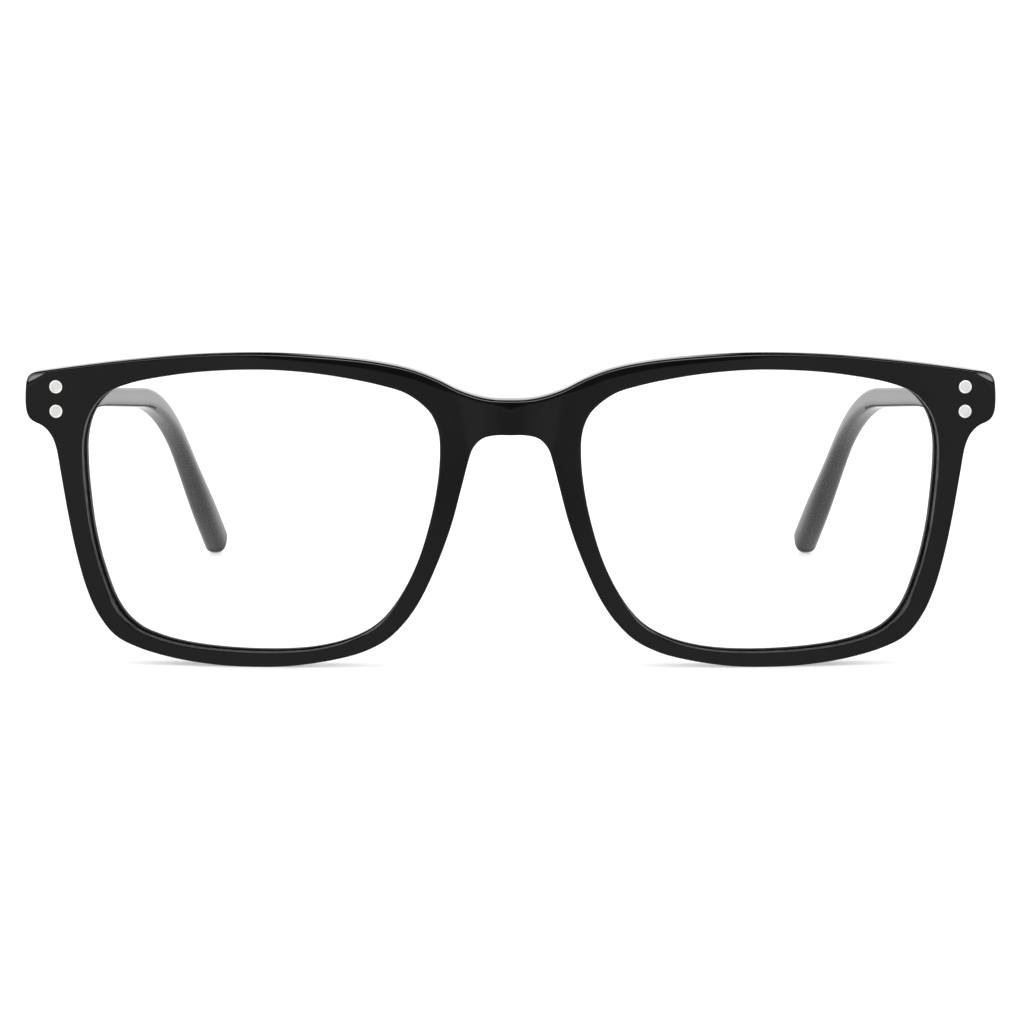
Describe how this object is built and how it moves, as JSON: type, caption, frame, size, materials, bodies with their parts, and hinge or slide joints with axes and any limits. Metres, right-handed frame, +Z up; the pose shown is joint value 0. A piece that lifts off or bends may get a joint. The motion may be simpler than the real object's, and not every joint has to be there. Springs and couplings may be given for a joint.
{
  "type": "eyeglasses frame",
  "caption": "Full-rim eyeglasses frame of black acetate with folding temples on riveted barrel hinges and clear lenses.",
  "frame": {"origin": "on the standing surface, under the middle of the frame's width and length", "axes": "+Z up, +X to the wearer's left, -Y the way the front faces"},
  "size_m": [0.1442, 0.1336, 0.0467],
  "materials": {
    "black_acetate": "polished gloss black",
    "clear_lens": "clear, polished",
    "nickel_silver": "polished nickel silver",
    "steel": "fine turned steel"
  },
  "bodies": {
    "front_assembly": {"front": "black_acetate", "lens_left": "clear_lens", "nose_pad_left": "black_acetate", "front_hinge_leaf_left": "nickel_silver", "hinge_screw_left": "steel", "front_rivet_upper_left": "nickel_silver", "front_rivet_lower_left": "nickel_silver", "lens_right": "clear_lens", "nose_pad_right": "black_acetate", "front_hinge_leaf_right": "nickel_silver", "hinge_screw_right": "steel", "front_rivet_upper_right": "nickel_silver", "front_rivet_lower_right": "nickel_silver"},
    "left_temple": {"temple_left": "black_acetate", "temple_hinge_leaf_left": "nickel_silver", "temple_rivet_upper_left": "nickel_silver", "temple_rivet_lower_left": "nickel_silver", "core_wire_left": "steel"},
    "right_temple": {"temple_right": "black_acetate", "temple_hinge_leaf_right": "nickel_silver", "temple_rivet_upper_right": "nickel_silver", "temple_rivet_lower_right": "nickel_silver", "core_wire_right": "steel"}
  },
  "joints": [
    {"name": "temple_fold_left", "type": "hinge", "parent": "front_assembly", "child": "left_temple", "pos_m": [0.06618, -0.05506, 0.0397], "axis": [0, 0, 1], "range_deg": [0, 83]},
    {"name": "temple_fold_right", "type": "hinge", "parent": "front_assembly", "child": "right_temple", "pos_m": [-0.06618, -0.05506, 0.0397], "axis": [0, 0, -1], "range_deg": [0, 79]}
  ]
}
